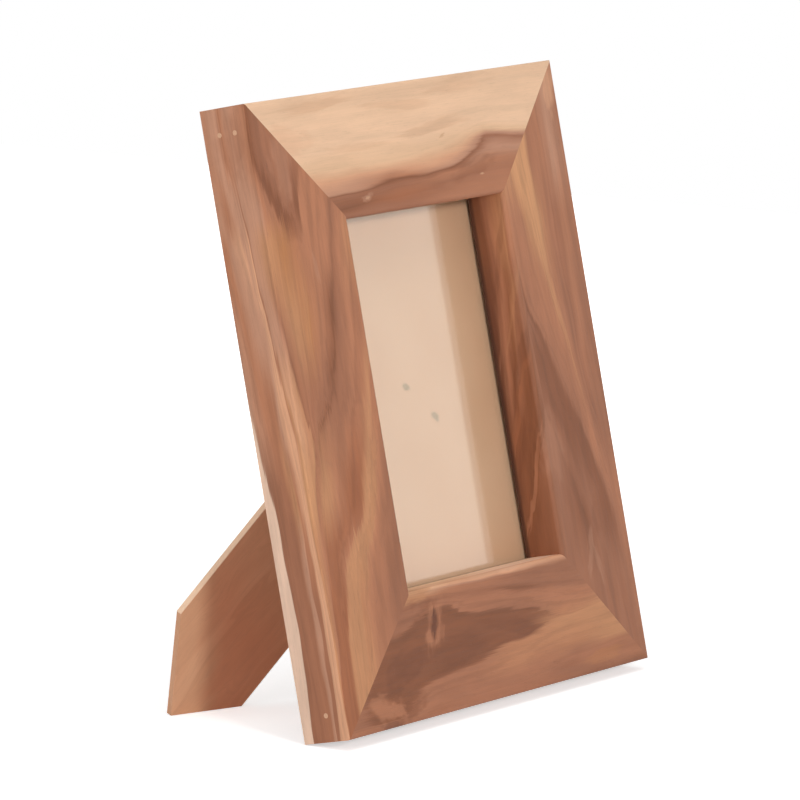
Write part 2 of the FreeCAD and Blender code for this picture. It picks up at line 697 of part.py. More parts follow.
def button_place(side):
    """Where a rail's turn button and its screw sit: on the rail's back, with Z towards the window."""
    return RAIL_PLACES[side] + " * placement(vector(0; 0; Places.screw_inset); rotation(vector(0; 0; 1); 0))"


def make_button(side):
    """A flat round-ended button that turns on a screw and holds the board in."""
    body = new_body(f"turn_button_{side}", button_place(side))
    outline = new_sketch(body, "outline", "XZ_Plane")
    radius = "Sizes.button_width / 2"
    nose = "Sizes.button_length - Sizes.button_width"
    draw_outline(
        outline,
        [(f"-{radius}", "0"), (radius, "0"), (radius, nose), (f"-{radius}", nose)],
        {0: (("0", "0"), True), 2: (("0", nose), True)})
    plate = pad(body, "plate", outline, "Sizes.button_thickness", reverse=True)
    back = sizes.button_thickness
    round_edges(
        body, "edge", plate, "Sizes.button_edge", lambda e: passes(e, lambda p: abs(p.y - back) < NEAR))
    hole = new_sketch(body, "hole", "XZ_Plane")
    draw_circle(hole, "0", "0", "Sizes.screw_radius + Sizes.screw_play")
    cut(body, "screw_hole", hole, both_ways=True)
    return body


def make_screw(side):
    """A pan-head wood screw with a cross recess, through the button into the rail."""
    body = new_body(f"turn_button_screw_{side}", button_place(side))
    section = new_sketch(body, "section", "YZ_Plane")
    under = "(Sizes.button_thickness + Sizes.screw_head_gap)"
    top = f"({under} + Sizes.screw_head_height)"
    rounding = "Sizes.screw_head_rounding"
    draw_outline(section, [
        ("-Sizes.screw_depth", "0"),
        (top, "0"),
        (top, f"Sizes.screw_head_radius - {rounding}"),
        (f"{top} - {rounding}", "Sizes.screw_head_radius"),
        (under, "Sizes.screw_head_radius"),
        (under, "Sizes.screw_radius"),
        ("Sizes.screw_tip - Sizes.screw_depth", "Sizes.screw_radius"),
    ], {2: ((f"{top} - {rounding}", f"Sizes.screw_head_radius - {rounding}"), False)})
    turned = body.newObject("PartDesign::Revolution", f"{body.Name}_turned")
    turned.Profile = section
    turned.ReferenceAxis = (section, ["H_Axis"])
    turned.Angle = 360
    doc.recompute()
    cross = new_sketch(body, "cross", "XZ_Plane", f"-{top}")
    long_half = "Sizes.driver_slot_length / 2"
    short_half = "Sizes.driver_slot_width / 2"
    draw_outline(cross, [
        (f"-{long_half}", f"-{short_half}"),
        (f"-{short_half}", f"-{short_half}"),
        (f"-{short_half}", f"-{long_half}"),
        (short_half, f"-{long_half}"),
        (short_half, f"-{short_half}"),
        (long_half, f"-{short_half}"),
        (long_half, short_half),
        (short_half, short_half),
        (short_half, long_half),
        (f"-{short_half}", long_half),
        (f"-{short_half}", short_half),
        (f"-{long_half}", short_half),
    ])
    cut(body, "cross_recess", cross, "Sizes.driver_slot_depth", reverse=True)
    return body


for side in SIDES:
    bodies.append(make_button(side))
    bodies.append(make_screw(side))


# ---- Checks and export -----------------------------------------------------------------------------------

doc.recompute()
for item in doc.Objects:
    if "Invalid" in item.State or "Error" in item.State:
        raise RuntimeError(f"{item.Label} failed: {item.State}")
for body in bodies:
    if body.Shape.isNull() or not body.Shape.isValid():
        raise RuntimeError(f"{body.Label} has no valid shape")

os.makedirs("parts", exist_ok=True)
for body in bodies:
    body.Shape.exportStep(f"parts/{body.Label}.step")
    print(f"{body.Label}: {len(body.Shape.Solids)} solid(s), {body.Shape.Volume:.1f} mm3")
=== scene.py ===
"""Looks of a wooden tabletop picture frame: four mitred rails round a glazed window, and an easel leg behind.

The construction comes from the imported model, in metres. Each section finishes one piece or one group of like
pieces, in the order in which the frame is put together.
"""
import json
import math

import bmesh
import bpy
from mathutils import Matrix, Vector


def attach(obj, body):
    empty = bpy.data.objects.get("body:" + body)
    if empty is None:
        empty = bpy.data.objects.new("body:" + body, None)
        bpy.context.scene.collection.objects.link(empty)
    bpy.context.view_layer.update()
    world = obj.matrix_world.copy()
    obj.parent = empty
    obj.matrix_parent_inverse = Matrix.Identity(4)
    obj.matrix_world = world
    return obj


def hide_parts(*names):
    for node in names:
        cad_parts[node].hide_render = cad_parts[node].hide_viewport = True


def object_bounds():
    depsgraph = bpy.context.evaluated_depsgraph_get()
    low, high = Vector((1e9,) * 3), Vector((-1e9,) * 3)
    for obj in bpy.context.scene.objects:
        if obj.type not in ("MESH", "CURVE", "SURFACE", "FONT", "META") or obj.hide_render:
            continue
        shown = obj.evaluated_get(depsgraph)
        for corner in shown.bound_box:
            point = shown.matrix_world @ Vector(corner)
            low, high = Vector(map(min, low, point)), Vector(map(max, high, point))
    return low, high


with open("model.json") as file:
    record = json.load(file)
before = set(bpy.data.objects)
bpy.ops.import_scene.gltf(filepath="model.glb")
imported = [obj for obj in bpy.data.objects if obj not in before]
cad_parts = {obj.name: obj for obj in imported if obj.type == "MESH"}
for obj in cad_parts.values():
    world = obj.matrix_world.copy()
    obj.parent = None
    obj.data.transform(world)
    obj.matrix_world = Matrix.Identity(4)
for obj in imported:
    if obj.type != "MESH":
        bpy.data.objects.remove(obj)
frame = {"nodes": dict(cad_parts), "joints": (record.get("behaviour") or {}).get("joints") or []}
cad_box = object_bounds()


# ---- Rails ------------------------------------------------------------------------------------------------
# Four lengths of one oiled hardwood moulding, mitred and glued at the corners. Each is cut from another
# part of the log: pale sapwood along the top, brown heartwood with dark growth lines and one knot in the
# others.

METRE = 1000.0
OUTER_THICKNESS = 25.6
RABBET_DEPTH = 7.3
OPENING = (120.0, 170.0)
HEIGHT = 286.0

back_normal = Vector(next(j["axis"] for j in frame["joints"] if j["name"] == "button_turn_top"))
LEAN = math.asin(-back_normal.z)
standing_edge = min((v.co for v in frame["nodes"]["bottom_rail"].data.vertices), key=lambda place: place.z)


def colour(red, green, blue):
    """A colour mixed on a 0 to 255 scale, as the shader wants it."""
    parts = [channel / 255 for channel in (red, green, blue)]
    return [p / 12.92 if p <= 0.04045 else ((p + 0.055) / 1.055) ** 2.4 for p in parts] + [1.0]


WOOD = {
    "sapwood": colour(231, 191, 157),
    "pale": colour(222, 187, 163),
    "cream": colour(222, 181, 145),
    "peach": colour(209, 155, 121),
    "straw": colour(201, 145, 103),
    "rose": colour(186, 136, 109),
    "tan": colour(187, 132, 94),
    "amber": colour(180, 123, 88),
    "honey": colour(178, 119, 76),
    "fawn": colour(173, 115, 84),
    "clay": colour(164, 108, 79),
    "russet": colour(157, 97, 65),
    "mauve": colour(154, 101, 74),
    "umber": colour(131, 80, 53),
    "dark": colour(104, 60, 40),
}
# A painted shade for the recess where each reveal meets the glass.
GLASS_RECESS_SHADE = colour(66, 37, 24)
GROWTH_TINT = (0.60, 0.46, 0.38, 1.0)

SPREAD = (0.3, 0.7)
WIDE_SPREAD = (0.2, 0.8)
NARROW_SPREAD = (0.35, 0.65)


def finish(name):
    """A new material with its shader: (material, node tree, shader)."""
    material = bpy.data.materials.new(name)
    material.use_nodes = True
    tree = material.node_tree
    tree.nodes.clear()
    shader = tree.nodes.new("ShaderNodeBsdfPrincipled")
    output = tree.nodes.new("ShaderNodeOutputMaterial")
    tree.links.new(shader.outputs["BSDF"], output.inputs["Surface"])
    return material, tree, shader


def coat_nodes(material, *names):
    """Gives CAD nodes one finish all over."""
    for name in names:
        for slot in frame["nodes"][name].material_slots:
            slot.material = material


def add(tree, kind, inputs, **settings):
    """A shader node with its settings, its inputs set to numbers or linked to sockets."""
    made = tree.nodes.new("ShaderNode" + kind)
    for name, value in settings.items():
        setattr(made, name, value)
    for name, value in inputs.items():
        if isinstance(value, bpy.types.NodeSocket):
            tree.links.new(value, made.inputs[name])
        else:
            made.inputs[name].default_value = value
    return made


def calc(tree, operation, first, second=0.0, clamp=False):
    """Works out one number from one or two others."""
    return add(tree, "Math", {0: first, 1: second}, operation=operation, use_clamp=clamp).outputs[0]


def fade(tree, value, start, end, low=0.0, high=1.0):
    """Goes smoothly from low to high as the value goes from start to end."""
    inputs = {"Value": value, "From Min": start, "From Max": end, "To Min": low, "To Max": high}
    return add(tree, "MapRange", inputs, interpolation_type="SMOOTHSTEP").outputs[0]


def blend(tree, share, first, second, kind="MIX"):
    """Mixes two colours."""
    mix = add(tree, "Mix", {0: share, 6: first, 7: second}, data_type="RGBA", blend_type=kind)
    return mix.outputs[2]


def noise(tree, place, sizes, detail=2.0, roughness=0.5):
    """Noise whose grains measure the three sizes, in the place's own units."""
    scaled = add(tree, "VectorMath", {0: place, 1: [1 / size for size in sizes]}, operation="MULTIPLY")
    inputs = {"Vector": scaled.outputs[0], "Scale": 1.0, "Detail": detail, "Roughness": roughness}
    return add(tree, "TexNoise", inputs).outputs["Fac"]


def stripes(tree, line, often, detail):
    """Noise that changes only across the growth lines, more often for a higher number."""
    inputs = {"W": calc(tree, "MULTIPLY", line, often), "Scale": 1.0, "Detail": detail}
    return add(tree, "TexNoise", inputs, noise_dimensions="1D").outputs["Fac"]


def millimetres(tree, origin, turn):
    """Millimetres from an origin along three turned axes."""
    coordinates = tree.nodes.new("ShaderNodeTexCoord").outputs["Object"]
    inputs = {"Vector": coordinates, "Location": origin, "Rotation": turn, "Scale": [1 / METRE] * 3}
    local = add(tree, "Mapping", inputs, vector_type="TEXTURE")
    return add(tree, "SeparateXYZ", {0: local.outputs[0]}).outputs


def leaning_place(tree):
    """Millimetres in the leaning frame: right of its middle, behind the rails' back and above its foot."""
    return millimetres(tree, (0.0, standing_edge.y, 0.0), (-LEAN, 0.0, 0.0))


def ramp(tree, value, steps):
    """A colour for each value between 0 and 1."""
    made = add(tree, "ValToRGB", {"Fac": value})
    stops = made.color_ramp.elements
    stops[0].position, stops[0].color = steps[0]
    stops[1].position, stops[1].color = steps[-1]
    for place, tone in steps[1:-1]:
        stops.new(place).color = tone
    return made.outputs["Color"]


def oval_mark(tree, plane, middle, halves, turn):
    """An oval's own place in its plane, and how far out that is: 1 at the rim."""
    turned = (0.0, 0.0, math.radians(turn))
    inputs = {"Vector": plane, "Location": middle, "Rotation": turned, "Scale": halves}
    oval = add(tree, "Mapping", inputs, vector_type="TEXTURE").outputs[0]
    return oval, add(tree, "VectorMath", {0: oval}, operation="LENGTH").outputs["Value"]


def cover(tree, shader, tone, height, strength, depth):
    """Gives a shader its colour, and its relief with a depth in metres."""
    tree.links.new(tone, shader.inputs["Base Color"])
    bump = add(tree, "Bump", {"Height": height, "Strength": strength, "Distance": depth})
    tree.links.new(bump.outputs[0], shader.inputs["Normal"])


def guide(tree, along, points):
    """How far across the board one growth line runs, at each place along it."""
    curve_node = add(tree, "FloatCurve", {"Value": along})
    curve_node.mapping.use_clip = False
    curve = curve_node.mapping.curves[0]
    for place in points[2:]:
        curve.points.new(*place)
    for point, place in zip(curve.points, points):
        point.location = place
        point.handle_type = "AUTO_CLAMPED"
    curve_node.mapping.update()
    return curve_node.outputs[0]


CLOSEST_LINES = 0.25


def count_lines(tree, along, across, guides):
    """How many growth lines lie below a place, with the share of the way to the next one."""
    lines = [guide(tree, along, points) for points in guides]
    total = 0.0
    for low, high in zip(lines, lines[1:]):
        gap = calc(tree, "MAXIMUM", calc(tree, "SUBTRACT", high, low), CLOSEST_LINES)
        share = calc(tree, "DIVIDE", calc(tree, "SUBTRACT", across, low), gap, clamp=True)
        total = calc(tree, "ADD", share, total)
    return total


def paint_board(tree, along, line, count, stations):
    """Tones across the board at stations along it, each passing gradually into the next."""
    painted = None
    for number, (place, tones) in enumerate(stations):
        steps = [(at / count, WOOD[tone]) for at, tone in tones]
        here = ramp(tree, calc(tree, "DIVIDE", line, count), steps)
        if painted is None:
            painted = here
        else:
            share = fade(tree, along, stations[number - 1][0], place)
            painted = blend(tree, share, painted, here)
    return painted


FRAY = 0.32
FRAYS_PER_HALF = 1.3
SOFT_RIM = (0.5, 1.25)


def add_patches(tree, along, across, painted, patches):
    """Soft oval marks in the figure: knots, flecks and cloudy places, each frayed in proportion."""
    plane = add(tree, "CombineXYZ", {0: along, 1: across}).outputs[0]
    for number, (tone, strength, *middle, half_length, half_width, turn) in enumerate(patches):
        oval, away = oval_mark(tree, plane, (*middle, 0.0), (half_length, half_width, 1.0), turn)
        inputs = {"Vector": oval, "W": float(number), "Scale": FRAYS_PER_HALF, "Detail": 2.0}
        rim = add(tree, "TexNoise", inputs, noise_dimensions="4D").outputs["Fac"]
        away = calc(tree, "ADD", away, fade(tree, rim, *SPREAD, -FRAY, FRAY))
        painted = blend(tree, fade(tree, away, *SOFT_RIM, strength, 0.0), painted, WOOD[tone])
    return painted


GROWTH_OFTEN = 2.0
GROWTH_EDGE = (0.52, 0.72)
GROWTH_SHADE = 0.18
RINGS_OFTEN = 4.6
RING_EDGE = (0.48, 0.68)
RING_SHADE = (-0.03, 0.08)
MOTTLE_SIZE = (34.0, 5.0, 6.0)
MOTTLE_SHADE = (-0.09, 0.07)
FIBRE_SIZE = (22.0, 0.5, 0.5)
FIBRE_SHADE = (-0.05, 0.05)
PORE_SIZE = (5.0, 0.26, 0.26)
PORE_EDGE = (0.63, 0.72)
PORE_SHADE = 0.16
PORE_DEPTH = 1.4
OILED_ROUGHNESS = (0.5, 0.62)


def oiled_wood(tree, shader, grain, line, painted, figure=1.0):
    """Growth lines, fibres, pores and mottling over the painted tones, with a dull oiled surface."""
    growth = stripes(tree, line, GROWTH_OFTEN, detail=3.0)
    rings = stripes(tree, line, RINGS_OFTEN, detail=1.0)
    mottle = noise(tree, grain, MOTTLE_SIZE, detail=3.0)
    fibre = noise(tree, grain, FIBRE_SIZE, detail=3.0, roughness=0.6)
    pore = fade(tree, noise(tree, grain, PORE_SIZE, detail=1.0), *PORE_EDGE)
    lines = fade(tree, growth, *GROWTH_EDGE, 0.0, GROWTH_SHADE * figure)
    toned = blend(tree, lines, painted, GROWTH_TINT, "MULTIPLY")
    shade = fade(tree, mottle, *SPREAD, *(1 + amount * figure for amount in MOTTLE_SHADE))
    shade = calc(tree, "ADD", shade, fade(tree, fibre, *SPREAD, *(amount * figure for amount in FIBRE_SHADE)))
    shade = calc(tree, "SUBTRACT", shade, calc(tree, "MULTIPLY", pore, PORE_SHADE * figure))
    ringed = fade(tree, rings, *RING_EDGE, *(amount * figure for amount in RING_SHADE))
    shade = calc(tree, "SUBTRACT", shade, ringed)
    shaded = add(tree, "VectorMath", {0: toned, "Scale": shade}, operation="SCALE").outputs[0]
    height = calc(tree, "SUBTRACT", fibre, calc(tree, "MULTIPLY", pore, PORE_DEPTH))
    cover(tree, shader, shaded, height, strength=0.35, depth=0.00012)
    tree.links.new(fade(tree, fibre, *SPREAD, *OILED_ROUGHNESS), shader.inputs["Roughness"])
    shader.inputs["Specular IOR Level"].default_value = 0.25


DRIFT_SIZE = (55.0, 9.0, 9.0)
DRIFT = 1.6
COMB_SIZE = (45.0, 1.2, 1.2)
COMB_SPREAD = (0.25, 0.75)
REVEAL_SKIN = (0.3, 0.7)
RECESS_SHADE_WIDTH = 3.0
RECESS_SHADE_CORE = 1.4
RECESS_SHADE_STRENGTH = 0.8


def make_rail_wood(side, upright, ragged, figure, guides, stations, patches):
    """The wood of one rail: its growth lines, the tones between them and the patches, in millimetres.

    Along is up from the foot in an upright rail, and right of the middle in a level one. Across is counted on
    the face and runs on over the edges into the sides. A station's tones are counted in growth lines.
    """
    material, tree, shader = finish(f"{side}_rail_wood")
    x, y, z = leaning_place(tree)
    along, over = (z, x) if upright else (x, z)
    behind_face = calc(tree, "MAXIMUM", calc(tree, "ADD", y, OUTER_THICKNESS), 0.0)
    across = calc(tree, "SUBTRACT" if upright else "ADD", over, behind_face)
    grain = add(tree, "CombineXYZ", {0: along, 1: across, 2: y}).outputs[0]
    drift = noise(tree, grain, DRIFT_SIZE)
    comb = noise(tree, grain, COMB_SIZE, detail=2.0, roughness=0.7)
    across = calc(tree, "ADD", across, fade(tree, drift, *WIDE_SPREAD, -DRIFT, DRIFT))
    combed = calc(tree, "ADD", along, fade(tree, comb, *COMB_SPREAD, -ragged, ragged))
    line = count_lines(tree, combed, across, guides)
    painted = paint_board(tree, combed, line, len(guides) - 1, stations)
    painted = add_patches(tree, along, across, painted, patches)

    width, height = OPENING
    from_middle = calc(tree, "ABSOLUTE", calc(tree, "SUBTRACT", z, HEIGHT / 2))
    past_sides = calc(tree, "SUBTRACT", calc(tree, "ABSOLUTE", x), width / 2)
    past_ends = calc(tree, "SUBTRACT", from_middle, height / 2)
    reveal = fade(tree, calc(tree, "MAXIMUM", past_sides, past_ends), *REVEAL_SKIN, 1.0, 0.0)
    # Painted shade: each reveal darkens over its last few millimetres before the glass, in the recess.
    recess_shade = fade(tree, y, -RABBET_DEPTH - RECESS_SHADE_WIDTH, -RABBET_DEPTH - RECESS_SHADE_CORE, 0.0, RECESS_SHADE_STRENGTH)
    painted = blend(tree, calc(tree, "MULTIPLY", reveal, recess_shade), painted, GLASS_RECESS_SHADE)
    oiled_wood(tree, shader, grain, line, painted, figure)
    coat_nodes(material, f"{side}_rail")


# The left rail: pale sapwood low on the back edge, stripes up the side, and grain that swings in across the
# face towards the opening.
make_rail_wood(
    "left", upright=True, ragged=3.0, figure=0.9,
    guides=[
        [(0, -137.8), (76, -137.6), (112, -139.4), (132, -141.6), (156, -143.6), (286, -158)],
        [(0, -125.5), (60, -125.5), (110, -126), (150, -129), (180, -130), (210, -132.6), (240, -135.6),
         (286, -138)],
        [(0, -118.5), (60, -118.5), (90, -119), (120, -119.5), (140, -120), (160, -122), (180, -124),
         (210, -126.6), (250, -130), (286, -132)],
        [(0, -118), (80, -113), (110, -112), (124, -110), (134, -108.6), (142, -111.5), (152, -113.6),
         (165, -115), (180, -116.4), (200, -118), (240, -118.6), (286, -119)],
        [(0, -117.6), (80, -112.5), (110, -110), (137, -105.6), (160, -100), (200, -97), (227, -96),
         (231, -97), (235, -101), (240, -106), (250, -111.5), (262, -116.5), (286, -118)],
        [(0, -117.2), (80, -112), (110, -109), (137, -104.8), (160, -99), (200, -96), (227, -95.2),
         (235, -94.6), (245, -92.4), (258, -89.6), (286, -84)],
        [(0, -116.8), (80, -111.5), (110, -107.8), (137, -104), (146, -96), (152, -90), (160, -88),
         (170, -85), (180, -82), (195, -79), (210, -75.5), (225, -73), (232, -71), (286, -66)],
        [(0, -107), (20, -106.5), (40, -107), (60, -103), (75, -99.5), (82, -96), (88, -91), (93, -85),
         (100, -81), (110, -78), (120, -75), (130, -71.5), (143, -68.5), (160, -65), (200, -61),
         (286, -52)],
        [(0, -104), (20, -97), (35, -91.5), (55, -89.5), (70, -86), (80, -83), (90, -76.5), (100, -73),
         (110, -70), (120, -68), (130, -65.5), (143, -61), (286, -44)],
        [(0, -40), (286, -30)],
    ],
    stations=[
        (15, [(0, "pale"), (0.04, "mauve"), (0.85, "clay"), (0.96, "rose"), (1.06, "rose"), (1.12, "mauve"),
              (1.32, "mauve"), (1.42, "peach"), (1.95, "peach"), (2.1, "tan"), (2.8, "fawn"), (3, "russet"),
              (6.8, "russet"), (7.05, "tan"), (8.0, "tan"), (8.1, "fawn"), (9, "mauve")]),
        (55, [(0, "pale"), (0.04, "mauve"), (0.85, "mauve"), (0.96, "rose"), (1.06, "rose"),
              (1.12, "mauve"), (1.32, "mauve"), (1.42, "peach"), (1.95, "peach"), (2.1, "tan"),
              (2.8, "fawn"), (3, "russet"), (6.85, "russet"), (7.05, "tan"), (7.5, "tan"), (7.9, "amber"),
              (8.05, "fawn"), (8.35, "mauve"), (8.5, "mauve"), (9, "umber")]),
        (82, [(0, "pale"), (0.04, "mauve"), (0.8, "mauve"), (0.96, "rose"), (1.08, "rose"), (1.14, "clay"),
              (1.32, "fawn"), (1.45, "peach"), (1.95, "peach"), (2.1, "tan"), (2.8, "fawn"), (3, "fawn"),
              (6.5, "russet"), (6.9, "fawn"), (7.1, "tan"), (7.9, "tan"), (8.05, "fawn"), (8.4, "mauve"),
              (9, "mauve")]),
        (108, [(0, "pale"), (0.04, "mauve"), (0.7, "mauve"), (1.0, "tan"), (1.2, "fawn"), (1.45, "peach"),
               (1.95, "peach"), (2.1, "straw"), (2.9, "tan"), (3, "fawn"), (6.1, "tan"), (6.35, "fawn"),
               (6.6, "russet"), (6.88, "russet"), (7.02, "tan"), (7.8, "tan"), (8.05, "fawn"),
               (8.2, "mauve"), (9, "mauve")]),
        (150, [(0, "pale"), (0.08, "rose"), (0.5, "fawn"), (0.9, "fawn"), (1.2, "rose"), (1.45, "peach"),
               (1.9, "peach"), (1.96, "fawn"), (2.06, "tan"), (2.2, "peach"), (2.9, "tan"), (3.0, "umber"),
               (3.3, "clay"), (5.4, "mauve"), (5.97, "umber"), (6.15, "mauve"), (6.8, "fawn"), (7.1, "tan"),
               (7.4, "fawn"), (9, "fawn")]),
        (185, [(0, "rose"), (0.5, "fawn"), (0.85, "rose"), (1.2, "rose"), (1.6, "peach"), (1.88, "peach"),
               (1.96, "mauve"), (2.06, "rose"), (2.6, "rose"), (3.0, "mauve"), (3.4, "tan"), (4.5, "honey"),
               (5.4, "fawn"), (5.97, "umber"), (6.2, "mauve"), (6.5, "fawn"), (7.0, "fawn"), (9, "fawn")]),
        (221, [(0, "fawn"), (0.5, "fawn"), (0.75, "rose"), (1.15, "peach"), (1.4, "rose"), (1.88, "peach"),
               (1.96, "mauve"), (2.08, "rose"), (3.0, "tan"), (3.5, "honey"), (4.0, "fawn"), (5.1, "fawn"),
               (5.3, "fawn"), (5.8, "fawn"), (6.0, "mauve"), (6.3, "fawn"), (7.0, "tan"), (9, "fawn")]),
        (237, [(0, "rose"), (0.5, "rose"), (0.9, "fawn"), (1.2, "rose"), (1.86, "rose"), (1.96, "mauve"),
               (2.08, "rose"), (2.9, "rose"), (3.1, "fawn"), (3.45, "fawn"), (3.6, "umber"), (4.0, "umber"),
               (4.25, "mauve"), (4.75, "mauve"), (4.9, "umber"), (5.06, "umber"), (5.12, "fawn"),
               (5.8, "fawn"), (6.0, "mauve"), (6.5, "fawn"), (9, "fawn")]),
        (265, [(0, "rose"), (0.5, "fawn"), (0.9, "rose"), (1.3, "rose"), (1.7, "fawn"), (2.2, "rose"),
               (3.0, "fawn"), (3.5, "umber"), (4.0, "umber"), (4.2, "mauve"), (4.8, "clay"),
               (4.95, "mauve"), (5.2, "fawn"), (9, "fawn")]),
    ],
    patches=[
        ("mauve", 0.45, 148, -84, 12, 12, 0),
        ("rose", 0.35, 208, -88, 9, 1.4, -8),
        ("rose", 0.3, 256, -99, 13, 7, 0),
        ("fawn", 0.4, 128, -97, 10, 8, 0),
        ("fawn", 0.4, 150, -111, 28, 5, 0),
        ("umber", 0.35, 230, -97, 9, 6, 0),
        ("mauve", 0.4, 268, -128, 14, 9, 0),
    ],
)

# The right rail: dark wood at the opening, under grain that climbs in long arches to a lighter top. By the
# glass the darkest tone is partly painted shade of the recess.
make_rail_wood(
    "right", upright=True, ragged=1.5, figure=0.8,
    guides=[
        [(0, 32), (100, 41), (163, 46), (286, 47)],
        [(0, 34), (40, 39), (68, 43), (100, 48.3), (123, 51.6), (160, 57), (185, 60.5), (286, 61)],
        [(0, 36), (40, 41), (68, 45.3), (95, 54.7), (117, 62.4), (125, 64), (150, 63.5), (190, 61.6),
         (286, 61.6)],
        [(0, 92), (40, 88), (62, 87), (90, 78), (110, 72), (125, 66), (150, 64.5), (190, 62), (286, 62)],
        [(0, 114), (60, 107), (85, 103), (100, 98), (115, 93), (130, 85), (150, 78), (162, 72), (172, 66),
         (185, 63), (190, 62.4), (286, 62.4)],
        [(0, 116), (60, 110), (85, 107), (100, 101), (130, 95), (145, 92), (160, 88), (175, 85.5),
         (195, 81), (215, 77), (235, 71), (250, 67), (286, 63)],
        [(0, 118), (60, 113), (100, 107), (130, 100), (150, 95), (170, 92.5), (190, 89.5), (250, 87),
         (286, 86)],
        [(0, 120), (60, 116), (100, 112), (130, 108), (160, 105.5), (240, 104.5), (286, 104)],
        [(0, 126), (286, 122)],
    ],
    # Above the lowest station, the dark tone before the first growth line lies on the reveal by the glass, and
    # is partly painted shade of that recess.
    stations=[
        (40, [(0, "dark"), (0.6, "dark"), (1.0, "umber"), (1.6, "umber"), (2.02, "umber"), (2.6, "mauve"),
              (3.0, "mauve"), (4, "mauve"), (5, "mauve"), (6, "clay"), (8, "clay")]),
        (75, [(0, "dark"), (0.6, "dark"), (1.0, "umber"), (2.045, "umber"), (2.5, "mauve"), (3.0, "umber"),
              (3.4, "mauve"), (4, "umber"), (4.4, "umber"), (5, "mauve"), (5.5, "clay"), (6, "clay"),
              (8, "fawn")]),
        (112, [(0, "dark"), (0.6, "umber"), (2.0, "umber"), (2.06, "mauve"), (2.5, "mauve"), (3.0, "mauve"),
               (3.5, "umber"), (4, "umber"), (4.4, "mauve"), (5, "clay"), (5.3, "fawn"), (5.8, "fawn"),
               (6.1, "clay"), (6.4, "mauve"), (7, "mauve"), (8, "clay")]),
        (145, [(0, "dark"), (0.5, "clay"), (0.85, "umber"), (1.0, "clay"), (1.4, "umber"), (2.0, "mauve"),
               (3.3, "umber"), (3.9, "umber"), (4.1, "mauve"), (4.6, "clay"), (5.2, "fawn"), (5.8, "amber"),
               (6.1, "clay"), (6.4, "mauve"), (7, "clay"), (7.4, "mauve"), (8, "clay")]),
        (175, [(0, "dark"), (0.45, "clay"), (0.7, "umber"), (0.95, "amber"), (1.0, "mauve"), (3.5, "mauve"),
               (4.0, "umber"), (4.08, "clay"), (4.8, "fawn"), (5.1, "fawn"), (5.6, "tan"), (6, "fawn"),
               (6.3, "mauve"), (6.9, "clay"), (7.1, "fawn"), (7.3, "mauve"), (8, "clay")]),
        (212, [(0, "umber"), (0.35, "clay"), (0.6, "amber"), (0.9, "tan"), (1.0, "fawn"), (4.0, "fawn"),
               (4.6, "fawn"), (5.0, "tan"), (5.25, "straw"), (5.9, "straw"), (6.1, "amber"), (6.4, "clay"),
               (6.9, "clay"), (7.2, "fawn"), (7.5, "clay"), (8, "fawn")]),
        (245, [(0, "umber"), (0.35, "clay"), (0.6, "amber"), (1.0, "tan"), (4.0, "tan"), (4.6, "tan"),
               (5.0, "straw"), (5.85, "straw"), (6.02, "clay"), (6.6, "fawn"), (7.1, "rose"), (7.8, "clay"),
               (8, "rose")]),
    ],
    patches=[
        ("rose", 0.2, 107, 67, 17, 8, 0),
        ("umber", 0.45, 70, 98, 13, 7, 0),
        ("rose", 0.32, 56, 84, 11, 2.6, 17),
        ("rose", 0.3, 51, 88.4, 12, 2.0, -8),
        ("fawn", 0.65, 91.5, 52.4, 27, 1.3, 18),
        ("russet", 0.5, 128, 51.5, 24, 1.6, 19),
        ("tan", 0.3, 176, 57.6, 22, 1.6, 17),
        ("clay", 0.35, 170, 52, 28, 2.4, 17),
        ("dark", 0.3, 146, 55.5, 28, 1.8, 18),
        ("dark", 0.25, 110, 50, 22, 1.8, 20),
        ("dark", 0.25, 200, 54, 28, 1.6, 16),
        ("peach", 0.8, 276, 113, 15, 5, 12),
    ],
)

